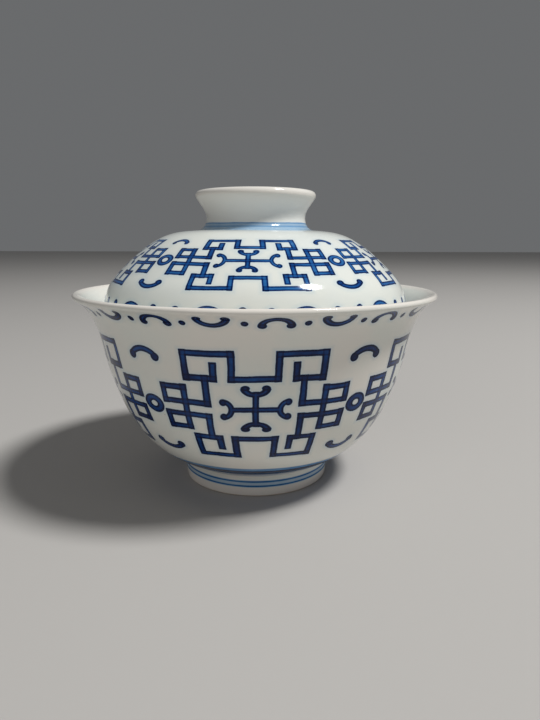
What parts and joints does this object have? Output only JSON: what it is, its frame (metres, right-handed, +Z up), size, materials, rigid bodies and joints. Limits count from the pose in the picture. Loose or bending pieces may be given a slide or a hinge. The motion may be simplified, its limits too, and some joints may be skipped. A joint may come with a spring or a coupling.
{
  "type": "gaiwan",
  "caption": "Lidded porcelain tea bowl with a flared rim, foot ring and ring-grip domed lid, painted with blue fretwork, for brewing leaf tea.",
  "frame": {"origin": "centre of the foot ring's underside, on the surface that the bowl stands on", "axes": "+Z up along the axis that bowl and lid are turned about; X and Y are alike, and -Y is the side whose painted medallion faces the viewer"},
  "size_m": [0.104, 0.104, 0.0841],
  "materials": {
    "painted_porcelain_bowl": "clear glossy glaze over cobalt blue brushwork, with a bare foot edge",
    "painted_porcelain_lid": "clear glossy glaze over cobalt blue brushwork"
  },
  "bodies": {
    "bowl": {"bowl": "painted_porcelain_bowl"},
    "lid": {"lid": "painted_porcelain_lid"}
  },
  "joints": [
    {"name": "lid_lift", "type": "slide", "parent": "bowl", "child": "lid", "axis": [0, 0, 1], "range_m": [0, 0.05]}
  ]
}
